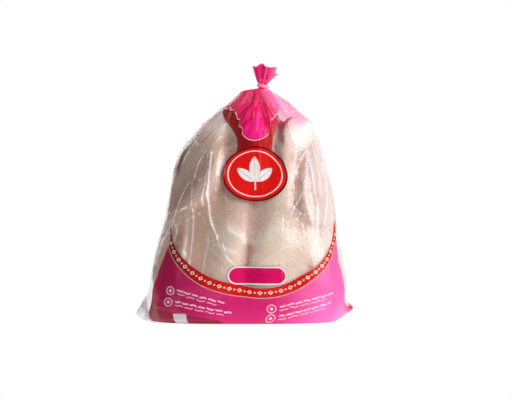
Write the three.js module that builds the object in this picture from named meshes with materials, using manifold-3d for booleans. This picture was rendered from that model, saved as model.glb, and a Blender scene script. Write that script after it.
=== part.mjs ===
// A whole raw chicken, tied in a clear printed film bag. Millimetres, +Z up, the breast towards -Y.
// The bird stands on its neck end with its legs up, and the film is drawn tight over it and gathered
// at the top. The bag and the bird in it are one solid, out to the film; the tie is the second.
import * as THREE from 'three';
import { ConvexGeometry } from 'three/addons/geometries/ConvexGeometry.js';
import { mergeVertices } from 'three/addons/utils/BufferGeometryUtils.js';
import Module from 'manifold-3d';

const wasm = await Module();
wasm.setup();

// Driving dimensions of the bag.
const NECK = { x: 20, z: 257.6, radius: 4.8, height: 4.6 };
const TUFT = { height: 21.6, depth: 0.72, ruffles: 7, ruffleDepth: 0.14 };
const TIE = { gap: 0.35, thickness: 1.4, height: 3.8 };
const NECK_FOOT = NECK.z - NECK.height / 2;
const BASE = { inset: 3, height: 4 };
const FILM_GAP = 1.2;

// How far the film sinks in between the bird's forms, how far they push it out at the front, and
// how softly it bends over them; with the heights between which each eases in or out.
const SLACK = { front: 8, back: 2, from: 5, full: 80, lessAbove: 200, none: 240 };
const PUSH = 10;
const SOFT_BLEND = { side: 1, front: 5, lessAbove: 195, none: 235 };
const BIRD_BLEND = 12;
const BALLS_IN_LIMB = 7;

// How far the film reaches at each height: to the left, right, front and back of the origin.
const BAG_LEVELS = [
  { z: 0, left: 102, right: 103, front: 53, back: 52 },
  { z: 10, left: 104, right: 109, front: 56, back: 57 },
  { z: 32, left: 105, right: 112, front: 56.5, back: 60 },
  { z: 62, left: 101, right: 109.5, front: 56, back: 61 },
  { z: 92, left: 93, right: 103, front: 55, back: 61.2 },
  { z: 122, left: 85.5, right: 99.5, front: 53, back: 59.5 },
  { z: 152, left: 80, right: 94.5, front: 50.5, back: 55.5 },
  { z: 172, left: 75.5, right: 89, front: 48, back: 51.5 },
  { z: 185, left: 70.5, right: 85.5, front: 46.5, back: 47.5 },
  { z: 200, left: 58.5, right: 81, front: 43, back: 42 },
  { z: 215, left: 46, right: 76, front: 36, back: 36 },
  { z: 228, left: 32, right: 60.5, front: 28, back: 28 },
  { z: 240, left: 16.5, right: 45.5, front: 19.5, back: 19.5 },
  { z: 248, left: 7, right: 34.5, front: 13, back: 13 },
  { z: 252.5, left: 1.5, right: 28, front: 9, back: 9 },
  { z: 255.3, left: -15.2, right: 24.8, front: 4.8, back: 4.8 },
];
const SQUARENESS = { low: 2.5, high: 2.0 };

// The tuft over the tie: how wide it is to each side, and how far its middle leans, up its height.
const TUFT_LEVELS = [
  { z: 0, half: 4.8, lean: 0 },
  { z: 0.08, half: 7.4, lean: 1.4 },
  { z: 0.2, half: 10.9, lean: 3.2 },
  { z: 0.42, half: 12.6, lean: 4.2 },
  { z: 0.62, half: 12, lean: 3.4 },
  { z: 0.82, half: 10.4, lean: 2 },
  { z: 1, half: 7.6, lean: 0.2 },
];

// The bird: ellipsoids by centre and radii, some turned about the Y axis by degrees, and limbs by
// their two ends.
const BULGES = [
  { at: [-12, 9, 92], radii: [72, 52, 92] },
  { at: [28, 9, 92], radii: [72, 52, 92] },
  { at: [-50, -3, 78], radii: [48, 45, 60], turn: 8 },
  { at: [66, -4, 78], radii: [44, 46, 62], turn: -6 },
  { at: [-34, 1, 40], radii: [68, 53, 42] },
  { at: [46, 1, 40], radii: [68, 53, 42] },
  { at: [-50, -5, 156], radii: [38, 44, 54], turn: 30 },
  { at: [79, -8, 142], radii: [31, 44, 60], turn: 6 },
  { at: [56, 14, 190], radii: [28, 26, 34] },
  { at: [14, 13, 160], radii: [58, 40, 54] },
  { at: [14, -1, 195], radii: [41, 38, 48] },
];
const LIMBS = [
  { from: [2, -22, 140], to: [-11, -33, 88], thick: 15, thin: 25 },
  { from: [-11, -33, 88], to: [-21, -29, 46], thick: 25, thin: 25 },
  { from: [28, -24, 140], to: [32, -34.5, 88], thick: 15, thin: 25 },
  { from: [32, -34.5, 88], to: [28, -30.5, 46], thick: 25, thin: 25 },
  { from: [38, -28, 130], to: [48, -28, 176], thick: 21, thin: 13 },
  { from: [-46, -18, 166], to: [-26, -14, 214], thick: 28, thin: 14 },
  { from: [-26, -14, 214], to: [-19, -10, 225], thick: 13.5, thin: 11 },
  { from: [47, -28, 172], to: [53, -24, 190], thick: 11.5, thin: 11.5 },
  { from: [53, -24, 190], to: [61, -19, 208], thick: 11.5, thin: 16 },
  { from: [61, -19, 208], to: [66, -16, 212], thick: 16, thin: 14 },
  { from: [-62, 8, 40], to: [-80, -8, 92], thick: 24, thin: 15 },
  { from: [-74, -22, 92], to: [-69, -34, 93], thick: 9, thin: 8 },
  { from: [80, 8, 40], to: [91, -6, 104], thick: 24, thin: 16 },
  { from: [80, -28, 62], to: [73, -38, 62], thick: 12, thin: 9 },
];

// The bottom corners, where the flat bag is pinched out into ears: each is a hull from the bag's
// side, seen from the front as an outline of [x, z] with its half depth at every point.
const LEFT_EAR = [
  [-90, 0, 26], [-114, 0, 3], [-119.5, 6, 1.6], [-119, 11, 1.6],
  [-114.5, 17, 2.5], [-110, 25, 4], [-92, 44, 22],
];
const RIGHT_EAR = [
  [88, 0, 24], [104, 0, 6], [119.5, 13.5, 1.6],
  [115, 18, 2.5], [110.5, 24, 5], [90, 44, 22],
];
const EAR_Y = { left: -6, right: -4 };

// How finely the film is cut: points round each ring, rings up the body, and rings up the tuft.
const AROUND = 92;
const BODY_STEPS = 46;
const TUFT_STEPS = 8;

// A smooth value through a list of levels at height z.
function levelAt(levels, z, key) {
  const last = levels.length - 1;
  let i = 0;
  while (i < last - 1 && z > levels[i + 1].z) i += 1;
  const [a, b] = [levels[i], levels[i + 1]];
  const t = THREE.MathUtils.clamp((z - a.z) / (b.z - a.z), 0, 1);
  const before = levels[Math.max(i - 1, 0)];
  const after = levels[Math.min(i + 2, last)];
  const slopeA = ((b[key] - before[key]) / (b.z - before.z)) * (b.z - a.z);
  const slopeB = ((after[key] - a[key]) / (after.z - a.z)) * (b.z - a.z);
  const [t2, t3] = [t * t, t * t * t];
  return (2 * t3 - 3 * t2 + 1) * a[key] + (t3 - 2 * t2 + t) * slopeA
    + (3 * t2 - 2 * t3) * b[key] + (t3 - t2) * slopeB;
}

// How far a ray runs before it leaves an ellipsoid, or 0 where it misses.
function exitOfEllipsoid(from, way, { at, radii, turn = 0 }) {
  const [c, s] = [Math.cos(THREE.MathUtils.degToRad(turn)), Math.sin(THREE.MathUtils.degToRad(turn))];
  const turned = ([x, y, z]) => [(x * c - z * s) / radii[0], y / radii[1], (x * s + z * c) / radii[2]];
  const p = turned(from.map((v, k) => v - at[k]));
  const d = turned(way);
  const dot = (u, v) => u[0] * v[0] + u[1] * v[1] + u[2] * v[2];
  const [a, b] = [dot(d, d), dot(p, d)];
  const inside = b * b - a * (dot(p, p) - 1);
  return inside <= 0 ? 0 : Math.max(0, (-b + Math.sqrt(inside)) / a);
}

// The same for a limb, taken as a row of balls between its ends.
function exitOfLimb(from, way, limb) {
  let far = 0;
  for (let i = 0; i < BALLS_IN_LIMB; i += 1) {
    const t = i / (BALLS_IN_LIMB - 1);
    const at = limb.from.map((v, k) => v + (limb.to[k] - v) * t);
    const r = limb.thick + (limb.thin - limb.thick) * t;
    far = Math.max(far, exitOfEllipsoid(from, way, { at, radii: [r, r, r] }));
  }
  return far;
}

// The larger of two reaches, rounded where they meet.
function softlyLarger(a, b) {
  const near = Math.max(BIRD_BLEND - Math.abs(a - b), 0) / BIRD_BLEND;
  return Math.max(a, b) + (near * near * BIRD_BLEND) / 4;
}

// How far the bird reaches along a level ray, with a soft blend between its parts.
function birdReach(from, way) {
  const parts = [
    ...BULGES.map((bulge) => exitOfEllipsoid(from, way, bulge)),
    ...LIMBS.map((limb) => exitOfLimb(from, way, limb)),
  ];
  return parts.filter((far) => far > 0).reduce(softlyLarger, 0);
}

// Folds of the film: pleats that fan out from the neck, and long ridges down the sides.
function foldAt(angle, z) {
  const drop = THREE.MathUtils.clamp((NECK_FOOT - z) / 75, 0, 1);
  const fan = Math.sin(Math.PI * Math.min(1, drop * 1.25) ** 0.6) * (1 - drop);
  const finer = 0.6 * Math.cos(17 * angle + 2.3) + 0.4 * Math.cos(5 * angle - 1);
  const pleats = Math.cos(11 * angle + 0.7) + finer;
  let ridges = 0;
  for (let i = 0; i < 9; i += 1) {
    const centre = i * 2.39996 + 0.012 * (z - 100) * Math.cos(i * 1.7);
    const off = Math.atan2(Math.sin(angle - centre), Math.cos(angle - centre));
    const length = 55 + 9 * (i % 4);
    const middle = 70 + 17 * (i % 6);
    ridges += Math.exp(-((off / 0.075) ** 2) - ((z - middle) / length) ** 2);
  }
  return fan * pleats * 1.9 + ridges * 1.5 * THREE.MathUtils.smoothstep(z, 12, 40);
}

// One level ring of the bag between its base and its neck.
function bodyRing(z) {
  const sides = ['left', 'right', 'front', 'back'];
  const [left, right, front, back] = sides.map((key) => levelAt(BAG_LEVELS, z, key));
  const [cx, cy] = [(right - left) / 2, (back - front) / 2];
  const [a, b] = [(right + left) / 2, (front + back) / 2];
  const square = THREE.MathUtils.mapLinear(z, 0, NECK_FOOT, SQUARENESS.low, SQUARENESS.high);
  const inset = BASE.inset * (1 - THREE.MathUtils.smoothstep(z, 0, BASE.height));
  const looseLow = THREE.MathUtils.smoothstep(z, SLACK.from, SLACK.full);
  const loose = looseLow * (1 - THREE.MathUtils.smoothstep(z, SLACK.lessAbove, SLACK.none));
  const soft = 1 - THREE.MathUtils.smoothstep(z, SOFT_BLEND.lessAbove, SOFT_BLEND.none);
  return Array.from({ length: AROUND }, (_, i) => {
    const angle = (i / AROUND) * 2 * Math.PI;
    const [c, s] = [Math.cos(angle), Math.sin(angle)];
    const taut = (Math.abs(c / a) ** square + Math.abs(s / b) ** square) ** (-1 / square);
    const push = PUSH * Math.max(0, -s) ** 2;
    const clear = Math.min(birdReach([cx, cy, z], [c, s, 0]) + FILM_GAP, taut + push);
    const slack = taut - loose * (s < 0 ? -SLACK.front : SLACK.back) * s;
    const blend = THREE.MathUtils.lerp(SOFT_BLEND.side, SOFT_BLEND.front, s * s) * soft;
    const softly = 0.5 * (slack + clear + Math.hypot(slack - clear, blend)) - blend / 6;
    const reach = (z < BASE.height ? taut : softly) - inset + foldAt(angle, z);
    return new THREE.Vector3(cx + reach * c, cy + reach * s, z);
  });
}

// One ring of the gathered tuft above the tie; share runs from 0 at the neck to 1 at the film's edge.
function tuftRing(share) {
  const [half, lean] = ['half', 'lean'].map((key) => levelAt(TUFT_LEVELS, share, key));
  const depth = THREE.MathUtils.lerp(1, TUFT.depth, Math.min(1, share * 4));
  return Array.from({ length: AROUND }, (_, i) => {
    const angle = (i / AROUND) * 2 * Math.PI;
    const finer = Math.cos((TUFT.ruffles + 4) * angle);
    const ruffle = Math.cos(TUFT.ruffles * angle + 0.8) + 0.5 * finer - 0.6;
    const reach = half * (1 + TUFT.ruffleDepth * ruffle * Math.min(1, share * 3));
    const edge = 1.5 * Math.cos(2 * angle + 0.9) + 1.0 * Math.cos(5 * angle);
    return new THREE.Vector3(
      NECK.x + lean + reach * Math.cos(angle),
      reach * depth * Math.sin(angle),
      NECK.z + NECK.height / 2 + TUFT.height * share + edge * share * share,
    );
  });
}

// A closed geometry over a stack of rings, with a fan at each end.
function closedOver(rings, bottomCentre, topCentre) {
  const points = [bottomCentre, ...rings.flat(), topCentre];
  const top = points.length - 1;
  const at = (ring, i) => 1 + ring * AROUND + (i % AROUND);
  const faces = [];
  for (let i = 0; i < AROUND; i += 1) {
    faces.push(0, at(0, i + 1), at(0, i));
    for (let ring = 0; ring < rings.length - 1; ring += 1) {
      faces.push(at(ring, i), at(ring, i + 1), at(ring + 1, i + 1));
      faces.push(at(ring, i), at(ring + 1, i + 1), at(ring + 1, i));
    }
    faces.push(at(rings.length - 1, i), at(rings.length - 1, i + 1), top);
  }
  return new THREE.BufferGeometry().setFromPoints(points).setIndex(faces);
}

// The bag from its flat base over the bird to the ruffled edge of the tuft.
function bagGeometry() {
  const heights = Array.from({ length: BODY_STEPS + 1 }, (_, i) => {
    const t = i / BODY_STEPS;
    return NECK_FOOT * (0.5 - 0.5 * Math.cos(Math.PI * t) * (1 - 0.3 * Math.sin(Math.PI * t) ** 2));
  });
  const body = heights.map(bodyRing);
  const tuft = Array.from({ length: TUFT_STEPS + 1 }, (_, i) => tuftRing(i / TUFT_STEPS));
  const dip = tuft[TUFT_STEPS].map((p) => new THREE.Vector3(
    THREE.MathUtils.lerp(p.x, NECK.x, 0.35),
    p.y * 0.65,
    p.z - 3,
  ));
  const base = new THREE.Vector3((BAG_LEVELS[0].right - BAG_LEVELS[0].left) / 2, 0, 0);
  const mouth = new THREE.Vector3(NECK.x, 0, NECK.z + TUFT.height - 2);
  return closedOver([...body, ...tuft, dip], base, mouth);
}

// One pinched corner as a closed hull, its middle at y.
function earGeometry(outline, y) {
  const points = outline.flatMap(([x, z, half]) => [
    new THREE.Vector3(x, y - half, z),
    new THREE.Vector3(x, y + half, z),
  ]);
  return new ConvexGeometry(points);
}

// A closed geometry as a solid for joining.
function solidOf(geometry) {
  const bare = geometry.index ? geometry.toNonIndexed() : geometry.clone();
  for (const name of Object.keys(bare.attributes)) if (name !== 'position') bare.deleteAttribute(name);
  const merged = mergeVertices(bare, 1e-3);
  return new wasm.Manifold(new wasm.Mesh({
    numProp: 3,
    vertProperties: merged.attributes.position.array,
    triVerts: new Uint32Array(merged.index.array),
  }));
}

// A solid back as a geometry.
function geometryOf(solid) {
  const { vertProperties, triVerts } = solid.getMesh();
  const geometry = new THREE.BufferGeometry();
  geometry.setAttribute('position', new THREE.BufferAttribute(vertProperties, 3));
  geometry.setIndex(new THREE.BufferAttribute(triVerts, 1));
  return geometry;
}

const film = new THREE.MeshStandardMaterial({ color: 0xdcc4b4, roughness: 0.22, metalness: 0 });
const band = new THREE.MeshStandardMaterial({ color: 0xf6a9c4, roughness: 0.3, metalness: 0 });

function makeBag() {
  const joined = solidOf(bagGeometry())
    .add(solidOf(earGeometry(LEFT_EAR, EAR_Y.left)))
    .add(solidOf(earGeometry(RIGHT_EAR, EAR_Y.right)));
  const mesh = new THREE.Mesh(geometryOf(joined), film);
  mesh.name = 'bag';
  return mesh;
}

function makeTie() {
  const inner = NECK.radius + TIE.gap;
  const outer = inner + TIE.thickness;
  const half = TIE.height / 2;
  const soft = TIE.thickness * 0.4;
  const profile = [
    [inner, -half + soft], [inner + soft, -half], [outer - soft, -half], [outer, -half + soft],
    [outer, half - soft], [outer - soft, half], [inner + soft, half], [inner, half - soft],
    [inner, -half + soft],
  ].map(([r, z]) => new THREE.Vector2(r, z));
  const ring = new THREE.LatheGeometry(profile, 28);
  ring.rotateX(Math.PI / 2);
  const mesh = new THREE.Mesh(ring, band);
  mesh.name = 'neck_tie';
  mesh.position.set(NECK.x, 0, NECK.z);
  return mesh;
}

const part = new THREE.Group();
part.add(makeBag(), makeTie());
export default part;
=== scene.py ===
"""A whole raw chicken in a clear printed film bag, gathered and banded at the top.

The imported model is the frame. The bird, the film, the gathered tuft and the band are built here and
ride on its one body. Sizes in the classes are millimetres; meshes are made in metres.
"""
import logging
import math
from dataclasses import dataclass, field
from enum import Enum
from typing import Callable, Optional, Union

import bpy
import numpy as np
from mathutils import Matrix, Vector


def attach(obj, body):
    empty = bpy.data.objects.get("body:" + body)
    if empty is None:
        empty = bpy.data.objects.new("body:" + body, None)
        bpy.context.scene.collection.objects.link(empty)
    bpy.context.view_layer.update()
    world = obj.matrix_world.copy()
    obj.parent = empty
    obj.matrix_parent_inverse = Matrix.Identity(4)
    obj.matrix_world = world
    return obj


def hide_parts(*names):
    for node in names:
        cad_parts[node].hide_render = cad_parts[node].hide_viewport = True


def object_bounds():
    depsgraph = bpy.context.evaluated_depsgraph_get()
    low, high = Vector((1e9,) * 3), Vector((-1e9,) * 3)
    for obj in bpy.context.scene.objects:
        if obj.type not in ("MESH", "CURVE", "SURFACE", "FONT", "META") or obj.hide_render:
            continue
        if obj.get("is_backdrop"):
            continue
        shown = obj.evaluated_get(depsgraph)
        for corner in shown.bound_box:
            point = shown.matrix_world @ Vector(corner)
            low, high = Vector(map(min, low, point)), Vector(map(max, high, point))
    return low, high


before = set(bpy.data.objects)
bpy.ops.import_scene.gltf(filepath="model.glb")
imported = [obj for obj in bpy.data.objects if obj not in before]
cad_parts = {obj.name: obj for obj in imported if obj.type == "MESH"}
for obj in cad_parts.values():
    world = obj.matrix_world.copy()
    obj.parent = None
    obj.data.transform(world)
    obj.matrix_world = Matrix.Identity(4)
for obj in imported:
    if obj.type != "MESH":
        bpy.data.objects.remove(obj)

LOG = logging.getLogger("chicken_pack")
MM = 0.001
BODY = "root"

Number = Union[int, float]
Colour = tuple[float, float, float]
Place = tuple[float, float, float]


def ink(red: int, green: int, blue: int) -> Colour:
    """A colour from 0 to 255 a channel, as seen on paper, turned to light values.

    Args:
        red: The red channel.
        green: The green channel.
        blue: The blue channel.

    Returns:
        The three linear channels.
    """
    parts = [c / 255 for c in (red, green, blue)]
    return tuple(c / 12.92 if c <= 0.04045 else ((c + 0.055) / 1.055) ** 2.4 for c in parts)


def smooth_step(low: float, high: float, value: np.ndarray) -> np.ndarray:
    """A smooth rise from 0 at low to 1 at high.

    Args:
        low: Where the rise starts.
        high: Where it ends.
        value: The values to map.

    Returns:
        The mapped values.
    """
    share = np.clip((value - low) / (high - low), 0.0, 1.0)
    return share * share * (3 - 2 * share)


def waves(
    points: np.ndarray, length: float, count: int, seed: int, squeeze: tuple = (1, 1, 1)
) -> np.ndarray:
    """A soft random field made of plane waves.

    Args:
        points: Rows of coordinates, in millimetres.
        length: The typical wavelength.
        count: How many waves are added.
        seed: The seed of their directions.
        squeeze: How much faster the field changes along each axis.

    Returns:
        One value for each point, mostly between -1 and 1.
    """
    draw = np.random.default_rng(seed)
    total = np.zeros(len(points))
    scale = np.array(squeeze[: points.shape[1]], float)
    for _ in range(count):
        way = draw.normal(size=points.shape[1])
        way *= scale / np.linalg.norm(way)
        pitch = length * draw.uniform(0.7, 1.5)
        total += np.cos(points @ way * (2 * np.pi / pitch) + draw.uniform(0, 2 * np.pi))
    return total / math.sqrt(count / 2)


class Socket:
    """A node's output that takes part in arithmetic."""

    def __init__(self, shader: "Shader", link: bpy.types.NodeSocket) -> None:
        """Keeps the shader that the output belongs to."""
        self.shader = shader
        self.link = link

    def maths(self, operation: str, other: "Input" = None, swap: bool = False) -> "Socket":
        """Adds one Math node.

        Args:
            operation: The node's operation.
            other: The second value, if the operation takes one.
            swap: True to put the second value first.

        Returns:
            The node's result.
        """
        pair = [self] if other is None else [other, self] if swap else [self, other]
        return self.shader.node("ShaderNodeMath", {"operation": operation}, dict(enumerate(pair)))

    def __add__(self, other: "Input") -> "Socket":
        """self + other."""
        return self.maths("ADD", other)

    __radd__ = __add__

    def __sub__(self, other: "Input") -> "Socket":
        """self - other."""
        return self.maths("SUBTRACT", other)

    def __rsub__(self, other: "Input") -> "Socket":
        """other - self."""
        return self.maths("SUBTRACT", other, swap=True)

    def __mul__(self, other: "Input") -> "Socket":
        """self * other."""
        return self.maths("MULTIPLY", other)

    __rmul__ = __mul__

    def __truediv__(self, other: "Input") -> "Socket":
        """self / other."""
        return self.maths("DIVIDE", other)

    def __pow__(self, other: "Input") -> "Socket":
        """self to the power of other."""
        return self.maths("POWER", other)

    def __neg__(self) -> "Socket":
        """Minus self."""
        return self.maths("MULTIPLY", -1.0)

    def __abs__(self) -> "Socket":
        """The size of self."""
        return self.maths("ABSOLUTE")

    def least(self, other: "Input") -> "Socket":
        """The smaller of two values."""
        return self.maths("MINIMUM", other)

    def most(self, other: "Input") -> "Socket":
        """The larger of two values."""
        return self.maths("MAXIMUM", other)

    def held(self) -> "Socket":
        """The value kept between 0 and 1."""
        return self.least(1.0).most(0.0)

    def within(self, soft: float) -> "Socket":
        """1 where a signed distance is negative, with an edge of the given softness."""
        return (0.5 - self / (2 * soft)).held()

    def rise(self, low: float, high: float) -> "Socket":
        """A smooth rise from 0 at low to 1 at high."""
        settings = {"interpolation_type": "SMOOTHSTEP"}
        return self.shader.node("ShaderNodeMapRange", settings, {"Value": self, 1: low, 2: high})

    def fall(self, low: float, high: float) -> "Socket":
        """A smooth fall from 1 at low to 0 at high."""
        return 1.0 - self.rise(low, high)

    def span(self, other: "Socket") -> "Socket":
        """The length of a step by self one way and by other the other way."""
        return (self * self + other * other) ** 0.5


Input = Union[Socket, Number, tuple, None]


class Shader:
    """A material under construction."""

    def __init__(self, name: str) -> None:
        """Starts an empty material."""
        self.material = bpy.data.materials.new(name)
        self.material.use_nodes = True
        self.tree = self.material.node_tree
        self.tree.nodes.clear()

    def node(
        self,
        kind: str,
        settings: Optional[dict] = None,
        inputs: Optional[dict] = None,
        out: Union[str, int] = 0,
    ) -> Socket:
        """Adds one node.

        Args:
            kind: The node's type.
            settings: Its settings, such as a Math node's operation, set first.
            inputs: What goes into its sockets, by name or number: a link or a value.
            out: The output wanted, by name or number.

        Returns:
            That output.
        """
        made = self.tree.nodes.new(kind)
        for key, value in (settings or {}).items():
            setattr(made, key, value)
        for key, value in (inputs or {}).items():
            socket = made.inputs[key]
            if isinstance(value, Socket):
                self.tree.links.new(value.link, socket)
            elif value is not None:
                plain = isinstance(value, tuple) and socket.type == "RGBA"
                socket.default_value = (*value, 1.0) if plain else value
        return Socket(self, made.outputs[out])

    def field(self, name: str) -> Socket:
        """A value stored on the mesh's points."""
        return self.node("ShaderNodeAttribute", {"attribute_name": name}, out="Fac")

    def place(self) -> Socket:
        """The point in the object's own space, in metres."""
        return self.node("ShaderNodeTexCoord", out="Object")

    def spot(self, x: Input, y: Input, z: Input = 0.0) -> Socket:
        """A vector from three values."""
        return self.node("ShaderNodeCombineXYZ", {}, {0: x, 1: y, 2: z})

    def part(self, vector: Socket, axis: str) -> Socket:
        """One coordinate of a vector."""
        return self.node("ShaderNodeSeparateXYZ", {}, {0: vector}, out=axis)

    def noise(self, where: Socket, scale: float, detail: float = 3.0, rough: float = 0.5) -> Socket:
        """Soft noise from 0 to 1."""
        inputs = {"Vector": where, "Scale": scale, "Detail": detail, "Roughness": rough}
        return self.node("ShaderNodeTexNoise", {}, inputs)

    def mix(self, share: Input, first: Input, second: Input) -> Socket:
        """Mixes two colours."""
        return self.node("ShaderNodeMix", {"data_type": "RGBA"}, {0: share, 6: first, 7: second}, out=2)

    def layers(self, base: Input, *coats: tuple[Input, Input]) -> Socket:
        """Lays colours over a base, one after another.

        Args:
            base: The colour at the bottom.
            coats: Pairs of a cover and a colour.

        Returns:
            The colour seen from above.
        """
        for cover, colour in coats:
            base = self.mix(cover, base, colour)
        return base

    def bump(self, height: Socket, distance: float, strength: float = 1.0, under: Input = None) -> Socket:
        """A bumped normal, on top of another if one is given."""
        inputs = {"Height": height, "Distance": distance, "Strength": strength, "Normal": under}
        return self.node("ShaderNodeBump", {}, inputs)

    def surface(self, **inputs: Input) -> Socket:
        """The main surface node, its sockets named with underscores for spaces."""
        named = {key.replace("_", " "): value for key, value in inputs.items()}
        return self.node("ShaderNodeBsdfPrincipled", {}, named)

    def finish(self, surface: Socket) -> bpy.types.Material:
        """Joins a surface to the output and gives the material."""
        out = self.tree.nodes.new("ShaderNodeOutputMaterial")
        self.tree.links.new(surface.link, out.inputs["Surface"])
        return self.material

    def finish_clear(self, cover: Socket, surface: Socket) -> bpy.types.Material:
        """Gives a material that light passes straight through where it has no cover."""
        air = self.node("ShaderNodeBsdfTransparent", {}, {"Color": (1.0, 1.0, 1.0)})
        return self.finish(self.node("ShaderNodeMixShader", {}, {0: cover, 1: air, 2: surface}))


def make_piece(
    name: str,
    points: np.ndarray,
    faces: np.ndarray,
    fields: dict[str, np.ndarray],
    material: bpy.types.Material,
) -> bpy.types.Object:
    """Makes a smooth mesh object that rides on the pack's body.

    Args:
        name: The piece's name.
        points: Its points, in millimetres.
        faces: Rows of four point numbers; a triangle repeats its last.
        fields: Values for each point, by name.
        material: Its finish.

    Returns:
        The object.
    """
    mesh = bpy.data.meshes.new(name)
    rows = [row[:3] if row[2] == row[3] else row for row in faces.tolist()]
    mesh.from_pydata((points * MM).tolist(), [], rows)
    mesh.polygons.foreach_set("use_smooth", np.ones(len(mesh.polygons), bool))
    for key, values in fields.items():
        mesh.attributes.new(key, "FLOAT", "POINT").data.foreach_set("value", values.astype(np.float32))
    mesh.materials.append(material)
    mesh.update()
    piece = bpy.data.objects.new(name, mesh)
    bpy.context.scene.collection.objects.link(piece)
    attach(piece, BODY)
    LOG.info("%s: %d points", name, len(points))
    return piece


def aim_at(name: str, data: bpy.types.ID, at: Vector, target: Vector) -> bpy.types.Object:
    """Puts a light or a camera into the scene, facing a point.

    Args:
        name: The object's name.
        data: The light or the camera.
        at: Where it stands.
        target: What it faces.

    Returns:
        The object.
    """
    holder = bpy.data.objects.new(name, data)
    holder.location = at
    holder.rotation_mode = "QUATERNION"
    holder.rotation_quaternion = (target - at).to_track_quat("-Z", "Y")
    bpy.context.scene.collection.objects.link(holder)
    return holder


def grid_faces(rows: int, columns: int, first: int = 0) -> np.ndarray:
    """The quads of a grid of points stored row by row.

    Args:
        rows: How many rows of points.
        columns: How many points in a row.
        first: The number of the first point.

    Returns:
        Rows of four point numbers.
    """
    index = first + np.arange(rows * columns).reshape(rows, columns)
    corners = (index[:-1, :-1], index[:-1, 1:], index[1:, 1:], index[1:, :-1])
    return np.stack([c.ravel() for c in corners], axis=1)


@dataclass(frozen=True)
class BagLevel:
    """How far the film reaches at one height, to each side of the origin."""

    z: float
    left: float
    right: float
    front: float
    back: float


def default_levels() -> tuple[BagLevel, ...]:
    """The bag's levels, the same as the solid's."""
    rows = (
        (0, 102, 103, 53, 52),
        (10, 104, 109, 56, 57),
        (32, 105, 112, 56.5, 60),
        (62, 101, 109.5, 56, 61),
        (92, 93, 103, 55, 61.2),
        (122, 85.5, 99.5, 53, 59.5),
        (152, 80, 94.5, 50.5, 55.5),
        (172, 75.5, 89, 48, 51.5),
        (185, 70.5, 85.5, 46.5, 47.5),
        (200, 58.5, 81, 43, 42),
        (215, 46, 76, 36, 36),
        (228, 32, 60.5, 28, 28),
        (240, 16.5, 45.5, 19.5, 19.5),
        (248, 7, 34.5, 13, 13),
        (252.5, 1.5, 28, 9, 9),
        (255.3, -15.2, 24.8, 4.8, 4.8),
    )
    return tuple(BagLevel(*row) for row in rows)


def through(places: np.ndarray, values: np.ndarray, at: np.ndarray) -> np.ndarray:
    """A smooth curve through given values.

    Args:
        places: Where the values are given, rising.
        values: The values.
        at: Where the curve is wanted.

    Returns:
        The curve there.
    """
    last = len(places) - 1
    i = np.clip(np.searchsorted(places, at, side="left") - 1, 0, last - 1)
    a, b = places[i], places[i + 1]
    t = np.clip((at - a) / (b - a), 0, 1)
    before, after = np.maximum(i - 1, 0), np.minimum(i + 2, last)
    slope_a = (values[i + 1] - values[before]) / (b - places[before]) * (b - a)
    slope_b = (values[after] - values[i]) / (places[after] - a) * (b - a)
    bend = 3 * t * t - 2 * t**3
    swing = t * (1 - t) ** 2 * slope_a - t * t * (1 - t) * slope_b
    return (1 - bend) * values[i] + bend * values[i + 1] + swing


@dataclass
class BagOutline:
    """The tight outline of the film, ring by ring."""

    levels: tuple[BagLevel, ...] = field(default_factory=default_levels)
    squareness: tuple[float, float] = (2.5, 2.0)
    push: float = 10.0

    def ring(self, z: np.ndarray) -> tuple[np.ndarray, ...]:
        """The middle and the half sizes of the ring at each height.

        Args:
            z: The heights.

        Returns:
            The middle's x and y, the half width, the half depth and the ring's squareness.
        """
        places = np.array([v.z for v in self.levels], float)
        left, right, front, back = (
            through(places, np.array([getattr(v, side) for v in self.levels], float), z)
            for side in ("left", "right", "front", "back")
        )
        power = self.squareness[0] + (self.squareness[1] - self.squareness[0]) * z / places[-1]
        return (right - left) / 2, (back - front) / 2, (right + left) / 2, (front + back) / 2, power

    def reach(self, z: np.ndarray, angle: np.ndarray) -> np.ndarray:
        """How far the film is from its ring's middle.

        Args:
            z: The heights.
            angle: The angles round the ring, of a shape that goes with the heights'.

        Returns:
            The reaches.
        """
        _, _, wide, deep, power = self.ring(z)
        c, s = np.abs(np.cos(angle)) + 1e-9, np.abs(np.sin(angle)) + 1e-9
        return ((c / wide) ** power + (s / deep) ** power) ** (-1 / power)

    def beyond(self, points: np.ndarray, push: float = 0.0) -> np.ndarray:
        """How far each point is beyond the tight film.

        Args:
            points: Rows of coordinates.
            push: How much more room is left at the front.

        Returns:
            Rough signed distances.
        """
        z = np.clip(points[:, 2], 0, self.levels[-1].z)
        cx, cy, *_ = self.ring(z)
        x, y = points[:, 0] - cx, points[:, 1] - cy
        angle = np.arctan2(y, x)
        room = push * np.clip(-np.sin(angle), 0, 1) ** 2
        return np.hypot(x, y) - self.reach(z, angle) - room


class Region(Enum):
    """The parts of the bird that meet in creases."""

    LEFT_BREAST = "left breast"
    RIGHT_BREAST = "right breast"
    LEFT_LEG = "left leg"
    RIGHT_LEG = "right leg"
    LEFT_WING = "left wing"
    RIGHT_WING = "right wing"
    FLANK = "flank"
    TAIL = "tail"


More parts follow.
